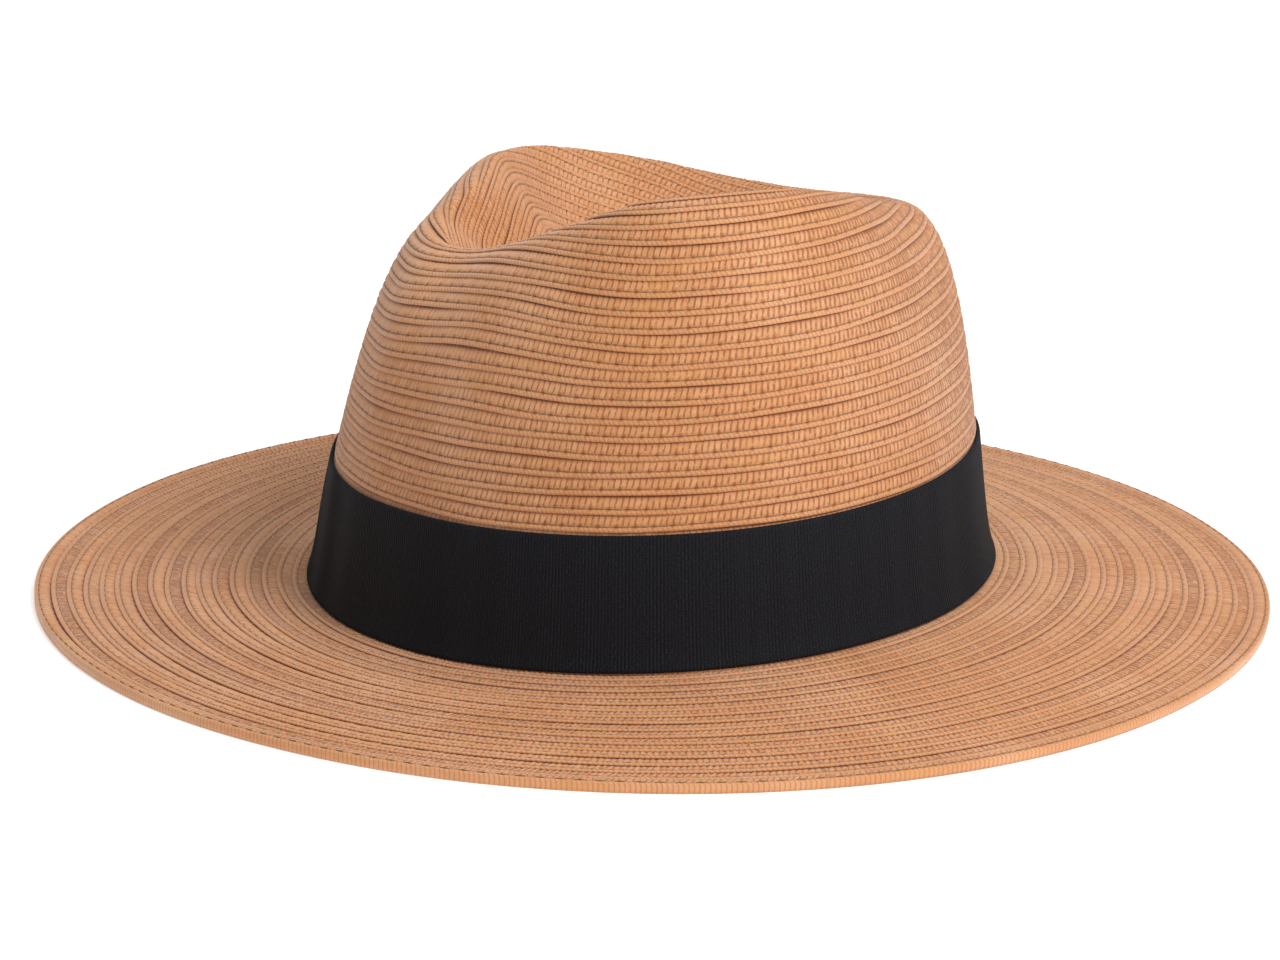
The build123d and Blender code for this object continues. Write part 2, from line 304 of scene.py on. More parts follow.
def make_crown_surface():
    """Points from the dent's middle to the headline. On the wall the row count is the distance from
    the headline over the pitch. In the dent it runs evenly on to the middle, where it is the same
    for every direction."""
    angle = np.linspace(0, 2 * np.pi, GRID_ANGLES, endpoint=False)[:, None]
    wall_t = np.linspace(1.0, 0.0, WALL_SAMPLES)[None, :]
    dent_t = np.linspace(1.0, 0.0, DENT_SAMPLES)[None, :-1]
    wall_r, wall_z = wall_profile(wall_t, angle)
    dent_r, dent_z = dent_profile(dent_t, angle)
    radius = np.concatenate([dent_r, wall_r], axis=1)
    z = np.concatenate([dent_z, wall_z], axis=1)
    shift = np.concatenate([np.repeat(dent_t, len(angle), 0), np.zeros_like(wall_r)], axis=1)
    x = radius * np.sin(angle) + DENT_SHIFT[0] * shift
    y = -radius * np.cos(angle) + DENT_SHIFT[1] * shift
    points = np.stack([x, y, z], axis=-1)
    run = run_lengths(points)
    up = run[:, -1:] - run
    from_headline = (up - row_rise(angle, up)) / ROW_PITCH
    crest_column = dent_t.shape[1]
    crest_rows = from_headline[:, crest_column:crest_column + 1]
    dent_share = run / run[:, crest_column:crest_column + 1]
    dent_rows = CROWN_ROWS + (crest_rows - CROWN_ROWS) * dent_share
    column = np.arange(points.shape[1])[None, :]
    above_headline = np.where(column < crest_column, dent_rows, from_headline)
    return Surface(points, CROWN_ROWS - above_headline, CROWN_ROWS)


# %% The brim's grid and its row count
BRIM_ROWS = 17
BRIM_SAMPLES = 410
BRIM_EDGE_INSET = 0.15 * MM
BRIM_LIP = BRAID_THICKNESS
BRIM_HIDDEN = BRIM_ROWS * BRIM_LIP / BRIM_WIDTH


def make_brim_surface():
    """Points from a lip inside the headline to the edge. The height falls as 1 - u^sag, and rows
    are even in u."""
    angle = np.linspace(0, 2 * np.pi, GRID_ANGLES, endpoint=False)[:, None]
    u = np.linspace(-BRIM_LIP / BRIM_WIDTH, 1.0, BRIM_SAMPLES)[None, :]
    start = oval(angle, HEAD_LENGTH, HEAD_WIDTH)
    radius = start + (BRIM_WIDTH - BRIM_EDGE_INSET) * u
    top = headline_height(start * np.sin(angle))
    z = BRAID_THICKNESS + (top - BRAID_THICKNESS) * (1.0 - np.maximum(u, 0.0)**BRIM_SAG)
    points = np.stack([radius * np.sin(angle), -radius * np.cos(angle), z], axis=-1)
    count = u * BRIM_ROWS + BRIM_HIDDEN
    return Surface(points, np.repeat(count, GRID_ANGLES, 0), BRIM_ROWS + BRIM_HIDDEN)


crown = make_crown_surface()
brim = make_brim_surface()
print("crown grid", crown.points.shape, "brim grid", brim.points.shape)

# %% [markdown]
# ## One row of braid
#
# The braid is a flat plait of paper strands, about 6 mm wide. Its outer edge is a smooth rolled
# cord, beside it runs the line of machine stitches, and the rest is covered with short ribs where
# the strands cross. Each row lies over the one below it and hides a third of it. A row is made as
# a profile carried along a path: sixteen points across, closed round, and one copy of them for
# every sixth of a stitch. The ribs are real relief: every other copy stands a little higher.

# %% The braid's profile, in millimetres
STITCH_PITCH = 4.60 * MM
STEPS_PER_STITCH = 6
STEP = STITCH_PITCH / STEPS_PER_STITCH

# across from the rolled edge, height over the surface, rib relief, slant along the row, painted shade
# (crevices, groove, underside)
PROFILE = np.array((
    (0.00, -0.44, 0.00, 0.0, 1.00),
    (-0.14, -0.16, 0.02, 0.0, 0.20),
    (-0.04, 0.10, 0.03, 0.2, 0.00),
    (0.46, 0.21, 0.05, 0.6, 0.00),
    (1.00, 0.12, 0.04, 0.9, 0.10),
    (1.30, -0.12, 0.00, 1.0, 0.50),
    (1.58, 0.07, 0.13, 1.2, 0.10),
    (2.30, 0.06, 0.18, 1.6, 0.00),
    (3.10, -0.05, 0.18, 2.1, 0.00),
    (3.80, -0.24, 0.15, 2.6, 0.30),
    (4.30, -0.42, 0.04, 2.5, 1.00),
    (6.20, -0.70, 0.00, 2.7, 1.00),
    (6.30, -1.20, 0.00, 2.7, 0.50),
    (4.40, -1.10, 0.00, 2.0, 0.20),
    (2.40, -0.90, 0.00, 1.0, 0.20),
    (0.50, -0.70, 0.00, 0.3, 0.40),
))
GROOVE = 5
HOLE_DEPTH = 0.32 * MM
HOLE_SHADE, BESIDE_SHADE, NEAR_SHADE = 0.9, 0.6, 0.4
SLANT = 0.35 * MM
ROW_WAVER = 0.15 * MM
SMALLEST_TURN = 4.0 * MM
CENTRE_ROW = 0.05
PATH_SAMPLES = 900
FEWEST_STITCHES = 3
print("profile of", len(PROFILE), "points, one step every", round(STEP / MM, 3), "mm")


def path_steps(surface, turns, row_at):
    """Even steps along a path on the surface. turns is (start, end), and row_at says which row the
    path is on after so many turns. There is a whole number of stitches."""
    dense = np.linspace(turns[0], turns[1], int(PATH_SAMPLES * (turns[1] - turns[0])) + 2)
    points, _ = surface.read(2 * np.pi * dense, row_at(dense))
    gaps = np.linalg.norm(np.diff(points, axis=0), axis=1)
    run = np.concatenate([[0.0], np.cumsum(gaps)])
    stitches = max(FEWEST_STITCHES, int(round(run[-1] / STITCH_PITCH)))
    wanted = np.linspace(0.0, run[-1], stitches * STEPS_PER_STITCH + 1)
    return np.interp(wanted, run, dense), wanted


def waviness(turn, row, size):
    """A hand-sewn row is never quite even: three waves with 3, 5 and 13 crests a turn, which close
    on themselves and drift out of step from row to row."""
    around = 2 * np.pi * turn
    wave = np.sin(3 * around + 5.1 * row) + np.sin(5 * around + 2.3 * row)
    return size * (wave + 0.6 * np.sin(13 * around + 7.7 * row))


def scatter(number):
    """A fixed pseudo-random value from 0 to 1 for every whole number."""
    return np.modf(np.abs(np.sin(number * 12.9898) * 43758.5453))[0]


def braid_points(surface, turn, run, row, profile):
    """Every profile point of every step: the surface point some way inwards from the row's outer
    edge, lifted along the normal. Returns the points, their painted shade (crevices, groove and
    stitch holes) and UV: u along, v across, in metres."""
    across = profile[:, 0] * MM
    edge_row = row + waviness(turn, row, ROW_WAVER) / ROW_PITCH
    edge, _ = surface.read(2 * np.pi * turn, edge_row)
    radius = np.maximum(np.hypot(edge[:, 0], edge[:, 1]), SMALLEST_TURN)
    angle = 2 * np.pi * turn[:, None] + profile[None, :, 3] * SLANT / radius[:, None]
    inward = edge_row[:, None] - across[None, :] / ROW_PITCH
    points, normals = surface.read(angle, np.maximum(inward, CENTRE_ROW))
    index = np.arange(len(turn))[:, None]
    step = index % STEPS_PER_STITCH
    column = np.arange(len(profile))[None, :]
    high = np.where(index % 2 == 0, 1.0, -1.0) * (0.5 + scatter(index + np.floor(row[:, None]) * 7919))
    # painted shade at the stitch holes: the groove at each hole, the points beside it and the groove one
    # step either side are darkened
    hole = (step == 0) * (column == GROOVE)
    beside = (step == 0) * (abs(column - GROOVE) == 1)
    near = np.isin(step, (1, STEPS_PER_STITCH - 1)) * (column == GROOVE)
    lift = (profile[None, :, 1] + high * profile[None, :, 2]) * MM - hole * HOLE_DEPTH
    shade = profile[None, :, 4] + hole * HOLE_SHADE + beside * BESIDE_SHADE + near * NEAR_SHADE
    uv = np.stack(np.broadcast_arrays(run[:, None], across[None, :]), axis=-1)
    return points + normals * lift[..., None], np.clip(shade, 0.0, 1.0), uv


# %% Turning a grid into a mesh
def new_piece(name, mesh):
    """A piece of a finished mesh, with smooth faces."""
    mesh.shade_smooth()
    mesh.update()
    return add_object(name, mesh)


def grid_mesh(name, points, closed_rows=False, uv=None, shade=None):
    """Piece from a grid of points. Rows run along the piece and columns round its profile. Open ends
    get a cap, so that the piece is a closed solid."""
    rows, columns = points.shape[:2]
    index = np.arange(rows * columns).reshape(rows, columns)
    first = index if closed_rows else index[:-1]
    second = np.roll(index, -1, axis=0) if closed_rows else index[1:]
    quads = np.stack([first, second, np.roll(second, -1, 1), np.roll(first, -1, 1)], axis=-1)
    faces = quads.reshape(-1, 4).tolist()
    if not closed_rows:
        faces += [index[0].tolist(), index[-1][::-1].tolist()]
    mesh = bpy.data.meshes.new(name)
    mesh.from_pydata(points.reshape(-1, 3).tolist(), [], faces)
    if uv is not None:
        layer = mesh.uv_layers.new(name="RowUV")
        corner = np.zeros(len(mesh.loops), np.int32)
        mesh.loops.foreach_get("vertex_index", corner)
        values = uv.reshape(-1, 2)[corner]
        layer.data.foreach_set("uv", values.astype(np.float32).ravel())
    if shade is not None:
        attribute = mesh.attributes.new("shade", "FLOAT", "POINT")
        attribute.data.foreach_set("value", shade.astype(np.float32).ravel())
    return new_piece(name, mesh)


def finish_piece(piece, material, slot, *nodes):
    """Gives a piece its material and its body, and hides the CAD nodes it stands for. The slot argument
    is not used.
    """
    piece.data.materials.append(material)
    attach(piece, "root")
    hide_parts(*nodes)
    return piece


print("mesh helpers ready:", grid_mesh.__name__, finish_piece.__name__)

# %% [markdown]
# ## Straw colour and weave
#
# Dyed paper straw is a warm tan with a soft, slightly waxy surface. Strands differ a little in tone,
# the grooves between them and the crevice under each row get painted shade, darker and redder, and
# the rolled edge catches the light. The pattern reads the row's own UV map, u along the row and v
# across it in metres, so that it follows every turn of the spiral.

# %% Node helpers
def link(tree, output, socket):
    """A wire from an output to an input."""
    tree.links.new(output, socket)


def feed(tree, value, socket):
    """Wires an output to the socket, or writes a number or an opaque colour into it."""
    if isinstance(value, bpy.types.NodeSocket):
        link(tree, value, socket)
    else:
        socket.default_value = (*value, 1.0) if isinstance(value, tuple) else value


def feed_all(tree, node, inputs):
    """Feeds a node's inputs by name, with _ for a space."""
    for name, value in inputs.items():
        feed(tree, value, node.inputs[name.replace("_", " ")])
    return node


def new_node(tree, kind, **inputs):
    """A shader node with some of its inputs fed."""
    return feed_all(tree, tree.nodes.new("ShaderNode" + kind), inputs)


def new_material(name, **inputs):
    """A material, its node tree and its Principled shader with some of its inputs fed."""
    material = bpy.data.materials.new(name)
    material.use_nodes = True
    tree = material.node_tree
    return material, tree, feed_all(tree, tree.nodes["Principled BSDF"], inputs)


def math_node(tree, operation, *values):
    """One arithmetic step on numbers or outputs."""
    node = new_node(tree, "Math")
    node.operation = operation
    for socket, value in zip(node.inputs, values):
        feed(tree, value, socket)
    return node.outputs[0]


def times(tree, a, b):
    """a times b."""
    return math_node(tree, "MULTIPLY", a, b)


def plus(tree, a, b):
    """a plus b."""
    return math_node(tree, "ADD", a, b)


def minus(tree, a, b):
    """a minus b."""
    return math_node(tree, "SUBTRACT", a, b)


def colour_mix(tree, factor, a, b):
    """Colour a where the factor is 0 and b where it is 1."""
    node = new_node(tree, "Mix", Factor=factor)
    node.data_type = "RGBA"
    feed(tree, a, node.inputs[6])
    feed(tree, b, node.inputs[7])
    return node.outputs[2]


def noise(tree, vector, scale, detail, roughness=0.5):
    """Smooth noise from 0 to 1: scale is blots per metre and detail adds finer ones."""
    node = new_node(tree, "TexNoise", Vector=vector, Scale=scale, Detail=detail, Roughness=roughness)
    return node.outputs["Fac"]


def stretched(tree, vector, scale):
    """A vector multiplied by a scale for each axis, so that noise on it turns into streaks."""
    node = new_node(tree, "VectorMath")
    node.operation = "MULTIPLY"
    node.inputs[1].default_value = scale
    link(tree, vector, node.inputs[0])
    return node.outputs[0]


def streaky(tree, vector, scale, detail, roughness=0.5):
    """Noise with its own number of blots per metre on each axis."""
    return noise(tree, stretched(tree, vector, (*scale, 1.0)), 1.0, detail, roughness)


def add_bump(tree, shader, height, strength, distance):
    """Bends the shader's normal by a height value."""
    bump = new_node(tree, "Bump", Height=height, Strength=strength, Distance=distance)
    link(tree, bump.outputs["Normal"], shader.inputs["Normal"])


def object_place(tree):
    """Coordinates in the piece's own frame, in metres."""
    return new_node(tree, "TexCoord").outputs["Object"]


print("node helpers ready")


# %% A shared group for the braid's weave
STRAW = (0.565, 0.232, 0.082)
STRAW_LIGHT = (0.72, 0.365, 0.172)
# dark tone for random strand streaks, and the colour of painted shade in slits, twist grooves and
# crevices
STRAW_DARK_AND_SHADE = (0.23, 0.060, 0.012)
STRAW_PALE = (0.76, 0.43, 0.25)
STRAW_GOLD = (0.62, 0.30, 0.09)
RIB_PITCH = 2 * STEP
RIB_WOBBLE = 0.7 * MM

# where the cord ends and the ribs start and end across the braid, each as a soft step
CORD_END = (1.0 * MM, 1.3 * MM)
RIBS_START = (1.35 * MM, 1.7 * MM)
RIBS_END = (5.0 * MM, 6.0 * MM)
SLIT_EDGE = -0.10

# blots per metre along and across the braid
WANDER_SCALE = (260.0, 500.0)
PATCH_SCALE = (700.0, 700.0)
STREAK_SCALE = (4500.0, 1300.0)
GOLD_SCALE = (70.0, 230.0)
BREAK_SCALE = (330.0, 60.0)
CORD_TWIST = (5200.0, 4200.0)
TONE_STRETCHES = 3.0


def group_with(name, inputs, outputs):
    """An empty shader group with named float, vector or colour sockets."""
    group = bpy.data.node_groups.new(name, "ShaderNodeTree")
    for socket_name, kind, value in inputs:
        socket = group.interface.new_socket(socket_name, in_out="INPUT", socket_type=kind)
        if value is not None:
            socket.default_value = value
    for socket_name, kind in outputs:
        group.interface.new_socket(socket_name, in_out="OUTPUT", socket_type=kind)
    return group, group.nodes.new("NodeGroupInput"), group.nodes.new("NodeGroupOutput")


def ramp_between(tree, value, low, high):
    """Smooth 0 to 1 as the value goes from low to high."""
    node = new_node(tree, "MapRange", Value=value, From_Min=low, From_Max=high)
    node.interpolation_type = "SMOOTHSTEP"
    return node.outputs["Result"]


def make_weave_group():
    """Ribs across the braid: slits between them, a tone for each rib, fine strand streaks, and twist
    grooves on the rolled edge. Slits and twist grooves are masks for painted shade; the slits also shape
    the bump.
    """
    tree, inside, out = group_with(
        "BraidWeave",
        (("UV", "NodeSocketVector", None), ("Rib Pitch", "NodeSocketFloat", RIB_PITCH),
         ("Wobble", "NodeSocketFloat", RIB_WOBBLE)),
        (("Slits", "NodeSocketFloat"), ("Rib Tone", "NodeSocketFloat"),
         ("Streaks", "NodeSocketFloat"), ("Edge", "NodeSocketFloat")),
    )
    uv = inside.outputs["UV"]
    along, across, _ = new_node(tree, "SeparateXYZ", Vector=uv).outputs
    wander = minus(tree, streaky(tree, uv, WANDER_SCALE, 2.0), 0.5)
    moved = plus(tree, along, times(tree, wander, inside.outputs["Wobble"]))
    place = math_node(tree, "DIVIDE", moved, inside.outputs["Rib Pitch"])
    ridge = math_node(tree, "COSINE", times(tree, place, 2 * math.pi))
    # slits between the ribs: a mask for the bump and for painted shade
    slit = minus(tree, 1.0, ramp_between(tree, ridge, -1.0, SLIT_EDGE))
    start = ramp_between(tree, across, *RIBS_START)
    ribbed = times(tree, start, minus(tree, 1.0, ramp_between(tree, across, *RIBS_END)))
    strength = ramp_between(tree, streaky(tree, uv, PATCH_SCALE, 2.0), 0.25, 0.55)
    link(tree, times(tree, times(tree, slit, ribbed), strength), out.inputs["Slits"])
    stretch = math_node(tree, "FLOOR", times(tree, along, TONE_STRETCHES))
    pick = new_node(tree, "CombineXYZ", X=math_node(tree, "ROUND", place), Y=stretch)
    rib = new_node(tree, "TexWhiteNoise", Vector=pick.outputs[0])
    rib.noise_dimensions = "2D"
    swing = times(tree, minus(tree, rib.outputs["Value"], 0.5), start)
    link(tree, plus(tree, swing, 0.5), out.inputs["Rib Tone"])
    link(tree, streaky(tree, uv, STREAK_SCALE, 3.0, 0.6), out.inputs["Streaks"])
    # twist grooves on the rolled edge: a mask for painted shade
    twist = plus(tree, times(tree, along, CORD_TWIST[0]), times(tree, across, CORD_TWIST[1]))
    strand = ramp_between(tree, math_node(tree, "SINE", twist), -1.0, -0.2)
    only_edge = minus(tree, 1.0, ramp_between(tree, across, *CORD_END))
    link(tree, times(tree, minus(tree, 1.0, strand), only_edge), out.inputs["Edge"])
    return tree


weave_group = make_weave_group()
print("group", weave_group.name, [socket.name for socket in weave_group.interface.items_tree])


# %% The straw material
def use_group(tree, group, **values):
    """The outputs of a shared group in a material, with its named inputs fed."""
    node = new_node(tree, "Group")
    node.node_tree = group
    return feed_all(tree, node, values).outputs


def row_uv(tree):
    """The piece's own UV map, u along and v across, in metres."""
    node = new_node(tree, "UVMap")
    node.uv_map = "RowUV"
    return node.outputs[0]


def straw_material(name, dashed):
    """Tan paper strands: painted shade, darker and redder, in the slits, twist grooves and crevices, rib
    tones vary, a soft sheen. dashed is how far the painted shadow line under each row breaks up into
    one dash for every stitch."""
    material, tree, shader = new_material(
        name, Roughness=0.58, Specular_IOR_Level=0.3, Sheen_Weight=0.28, Sheen_Roughness=0.5)
    uv = row_uv(tree)
    weave = use_group(tree, weave_group, UV=uv, Rib_Pitch=RIB_PITCH)
    place = object_place(tree)
    # the shade attribute carries painted shade: the crevice under each row, the groove and the stitch
    # holes
    shade = new_node(tree, "Attribute")
    shade.attribute_name = "shade"
    along = new_node(tree, "SeparateXYZ", Vector=uv).outputs[0]
    # the painted shadow line breaks into one dash per stitch, as far as dashed says, and into patches by
    # noise
    beat = math_node(tree, "COSINE", times(tree, along, 2 * math.pi / STITCH_PITCH))
    dash = plus(tree, times(tree, ramp_between(tree, beat, -0.4, 0.3), dashed), 1.0 - dashed)
    breaks = ramp_between(tree, streaky(tree, uv, BREAK_SCALE, 1.0), 0.2, 0.5)
    breaks = plus(tree, times(tree, breaks, 0.35), 0.65)
    layers = (
        (ramp_between(tree, weave["Streaks"], 0.42, 0.75), 0.45, STRAW_LIGHT),
        (ramp_between(tree, weave["Streaks"], 0.5, 0.25), 0.35, STRAW_DARK_AND_SHADE),
        (ramp_between(tree, noise(tree, place, 30.0, 3.0), 0.40, 0.75), 0.45, STRAW_PALE),
        (ramp_between(tree, noise(tree, place, 1500.0, 1.0), 0.62, 0.78), 0.45, STRAW_PALE),
        # painted shade in the slits between the ribs
        (weave["Slits"], 0.72, STRAW_DARK_AND_SHADE),
        # painted shade in the twist grooves of the rolled edge
        (weave["Edge"], 0.38, STRAW_DARK_AND_SHADE),
        (ramp_between(tree, streaky(tree, uv, GOLD_SCALE, 2.0), 0.5, 0.7), 0.35, STRAW_GOLD),
        # painted shadow line under each row, and painted shade in the groove and the stitch holes
        (times(tree, times(tree, shade.outputs["Fac"], breaks), dash), 0.95, STRAW_DARK_AND_SHADE),
    )
    tone = plus(tree, times(tree, weave["Rib Tone"], 0.55), 0.05)
    colour = colour_mix(tree, tone, STRAW, STRAW_LIGHT)
    for mask, amount, tint in layers:
        colour = colour_mix(tree, times(tree, mask, amount), colour, tint)
    link(tree, colour, shader.inputs["Base Color"])
    add_bump(tree, shader, minus(tree, weave["Streaks"], weave["Slits"]), 0.6, 0.15 * MM)
    return material


straw = straw_material("straw_braid", 0.0)
brim_straw = straw_material("straw_braid_brim", 0.55)
print("materials", straw.name, brim_straw.name)


# %% [markdown]
# ## The crown's spiral
#
# The whole crown is one long strip, sewn round and round from the middle of the dent down to the
# headline. It could be stacked rings, but the spiral is what a braid hat really is, and its start
# shows in the dent. The strip is cut into a few long stretches only to keep each mesh light.

# %% Crown rows
FIRST_TURN = 0.8
CROWN_STRETCHES = 5


def make_crown_rows():
    """The spiral from the middle of the dent to the headline, cut into stretches."""
    turn, run = path_steps(crown, (FIRST_TURN, CROWN_ROWS), lambda t: t)
    points, shade, uv = braid_points(crown, turn, run, turn, PROFILE)
    cuts = np.linspace(0, (len(run) - 1) // STEPS_PER_STITCH, CROWN_STRETCHES + 1).astype(int)
    cuts = cuts * STEPS_PER_STITCH
    pieces = []
    for i, (a, b) in enumerate(zip(cuts[:-1], cuts[1:])):
        part = slice(a, b + 1)
        name = f"crown_braid_rows_{i + 1}"
        piece = grid_mesh(name, points[part], uv=uv[part], shade=shade[part])
        pieces.append(finish_piece(piece, straw, "straw_braid", "crown_braid"))
    return pieces, turn, run


crown_pieces, crown_turn, crown_run = make_crown_rows()
print("crown:", CROWN_ROWS, "rows,", round(float(crown_run[-1]), 1), "m of braid")

# %% [markdown]
# ## The brim's rows
#
# On the brim each turn of the spiral is so close to a ring that rings are used: they end cleanly
# at the outer edge, where the last row holds the wire and is thicker.

# %% Brim rows
# the last row is folded over the wire and its sleeve, so it stands higher and reaches lower
EDGE_PROFILE = PROFILE.copy()
EDGE_LIFT = 0.70
EDGE_PROFILE[0, :2] = (0.05, -1.68)
EDGE_PROFILE[1, :2] = (-0.10, -0.70)
EDGE_PROFILE[2, :2] = (0.02, 0.30)
EDGE_PROFILE[3:9, 1] += (0.45, 0.50, EDGE_LIFT, 0.60, 0.64, 0.60)
EDGE_PROFILE[9, 1] = 0.26
EDGE_PROFILE[6:9, 2] = 0.11
# no painted shade on the edge row's rolled cord
EDGE_PROFILE[:3, 4] = 0.0
EDGE_PROFILE[-1, :2] = (0.60, -1.79)
EDGE_PROFILE[-2, :2] = (2.60, -1.79)
EDGE_PROFILE[-3, :2] = (4.60, -1.50)

# the first ring is narrow and only closes the gap between the crown and the brim, under the ribbon
LIP_PROFILE = PROFILE.copy()
LIP_PROFILE[:, 0] *= BRIM_LIP / MM / PROFILE[:, 0].max()


def brim_ring(row, profile):
    """One closed ring of braid: points, shade and UV, without the doubled last step."""
    turn, run = path_steps(brim, (0.0, 1.0), lambda t: row + 0.0 * t)
    turn, run = turn[:-1], run[:-1]
    return braid_points(brim, turn + math.floor(row), run, row + 0.0 * turn, profile)


def make_brim_rows():
    """Rings from the one under the ribbon to the one that holds the wire."""
    pieces = []
    for row in range(BRIM_ROWS + 1):
        last = row == BRIM_ROWS
        profile = {0: LIP_PROFILE, BRIM_ROWS: EDGE_PROFILE}.get(row, PROFILE)
        points, shade, uv = brim_ring(row + BRIM_HIDDEN, profile)
        name = "brim_edge_row" if last else f"brim_braid_row_{row}"
        piece = grid_mesh(name, points, closed_rows=True, uv=uv, shade=shade)
        node = "brim_edge_braid" if last else "brim_braid"
        pieces.append(finish_piece(piece, brim_straw, "straw_braid", node))
    return pieces


brim_pieces = make_brim_rows()
print("brim:", len(brim_pieces), "rows")

# %% [markdown]
# ## The sewing thread
#
# A machine sews each row to the one below with a stitch every 4.6 mm. The thread lies in the groove
# beside the rolled edge and dives into a hole at each end. It could be painted on, but a small tube
# catches light on top and casts a shadow in the groove. Each stitch is only four-sided, because
# there are thousands of them.

# %% Stitches
THREAD_RADIUS = 0.17 * MM
PLY_SCALE = 2500.0
STITCH_ACROSS = PROFILE[GROOVE, 0] * MM
# along the stitch and height over the surface, in millimetres
STITCH_LINE = np.array(((-1.50, -0.36), (-1.05, -0.04), (0.0, 0.05), (1.05, -0.04), (1.50, -0.36)))


def tube_blocks(centres, side, lift, radius, around=4):
    """Separate tubes: centres is (tubes, stations, 3) and side and lift are the two unit directions
    across each tube. Ring point k is centre + radius (cos k side + sin k lift)."""
    phase = np.arange(around) * 2 * np.pi / around
    ring = (np.cos(phase)[:, None] * side[..., None, :] + np.sin(phase)[:, None] * lift[..., None, :])
    return centres[..., None, :] + radius * ring


def blocks_mesh(name, blocks):
    """One piece of many equal tubes, each with both ends capped: (tubes, stations, around, 3)."""
    tubes, stations, around = blocks.shape[:3]
    index = np.arange(tubes * stations * around).reshape(tubes, stations, around)
    first, second = index[:, :-1], index[:, 1:]
    quads = np.stack([first, second, np.roll(second, -1, 2), np.roll(first, -1, 2)], axis=-1)
    caps = np.concatenate([index[:, 0], index[:, -1][:, ::-1]])
    faces = quads.reshape(-1, 4).tolist() + caps.tolist()
    mesh = bpy.data.meshes.new(name)
    mesh.from_pydata(blocks.reshape(-1, 3).tolist(), [], faces)
    return new_piece(name, mesh)


def row_stitches(surface, turn, row, lift=0.0):
    """Stitch tubes between the holes of a row, as blocks of ring points."""
    middle = np.arange(STEPS_PER_STITCH // 2, len(turn), STEPS_PER_STITCH)
    t, edge_row = turn[middle], (row + waviness(turn, row, ROW_WAVER) / ROW_PITCH)[middle]
    edge, _ = surface.read(2 * np.pi * t, edge_row)
    radius = np.maximum(np.hypot(edge[:, 0], edge[:, 1]), SMALLEST_TURN)
    angle = 2 * np.pi * t[:, None] + (STITCH_LINE[None, :, 0] * MM + SLANT) / radius[:, None]
    inward = np.maximum(edge_row - STITCH_ACROSS / ROW_PITCH, 0.0)[:, None] + 0.0 * angle
    points, normals = surface.read(angle, inward)
    centres = points + normals * ((STITCH_LINE[None, :, 1] + lift) * MM)[..., None]
    along = centres[:, -1] - centres[:, 0]
    along = along / np.linalg.norm(along, axis=1, keepdims=True)
    side = np.cross(np.repeat(along[:, None], centres.shape[1], 1), normals)
    return tube_blocks(centres, side, normals, THREAD_RADIUS)


def thread_material(name, colour):
    """Cotton thread: lighter and darker spots where its two plies wind round each other."""
    material, tree, shader = new_material(name, Roughness=0.7, Sheen_Weight=0.1)
    plies = noise(tree, object_place(tree), PLY_SCALE, 1.0)
    dark = tuple(0.55 * c for c in colour)
    mixed = colour_mix(tree, ramp_between(tree, plies, 0.35, 0.65), dark, colour)
    link(tree, mixed, shader.inputs["Base Color"])
    add_bump(tree, shader, plies, 0.4, 0.05 * MM)
    return material


straw_thread = thread_material("straw_thread", (0.34, 0.19, 0.075))
crown_thread = blocks_mesh("crown_row_stitches", row_stitches(crown, crown_turn, crown_turn))
finish_piece(crown_thread, straw_thread, "straw_thread", "crown_braid")


def make_brim_stitches():
    """The stitches of every ring of the brim, in two pieces."""
    blocks = []
    for row in range(1, BRIM_ROWS + 1):
        at = row + BRIM_HIDDEN
        turn, _ = path_steps(brim, (0.0, 1.0), lambda t, at=at: at + 0.0 * t)
        lift = EDGE_LIFT if row == BRIM_ROWS else 0.0
        blocks.append(row_stitches(brim, turn + row, at + 0.0 * turn, lift))
    inner = blocks_mesh("brim_row_stitches", np.concatenate(blocks[:-1]))
    outer = blocks_mesh("brim_edge_stitches", blocks[-1])
    finish_piece(inner, straw_thread, "straw_thread", "brim_braid")
    finish_piece(outer, straw_thread, "straw_thread", "brim_edge_braid")
    return inner, outer


brim_thread = make_brim_stitches()
print("stitch faces:", [len(piece.data.polygons) for piece in (crown_thread, *brim_thread)])

# %% [markdown]
# ## The ribbon
#
# Grosgrain is a ribbon with thick cross threads, which show as fine upright ribs. It is stretched
# round the foot of the crown and follows its flare. It could be a flat band with a bump map, but
# the ribs are coarse enough to see on its edges, so they are real relief: four steps for each rib.

# %% Ribbon
RIBBON_WIDTH = 32.5 * MM
RIBBON_THICKNESS = 0.8 * MM
RIBBON_LIFT = 0.6 * MM
RIBBON_CLEARANCE = 0.3 * MM
RIBBON_RIB = 0.9 * MM


# the wall's radius, read off its profile once for every direction and height
WALL_TURN = np.linspace(0, 2 * np.pi, 361)
WALL_ABOVE = np.linspace(-1 * MM, 45 * MM, 93)
WALL_PART = np.linspace(0.0, 0.6, 240)
WALL_RADII = np.stack([np.interp(WALL_ABOVE, z - z[0], radius)
                       for radius, z in zip(*wall_profile(WALL_PART[None, :], WALL_TURN[:, None]))])


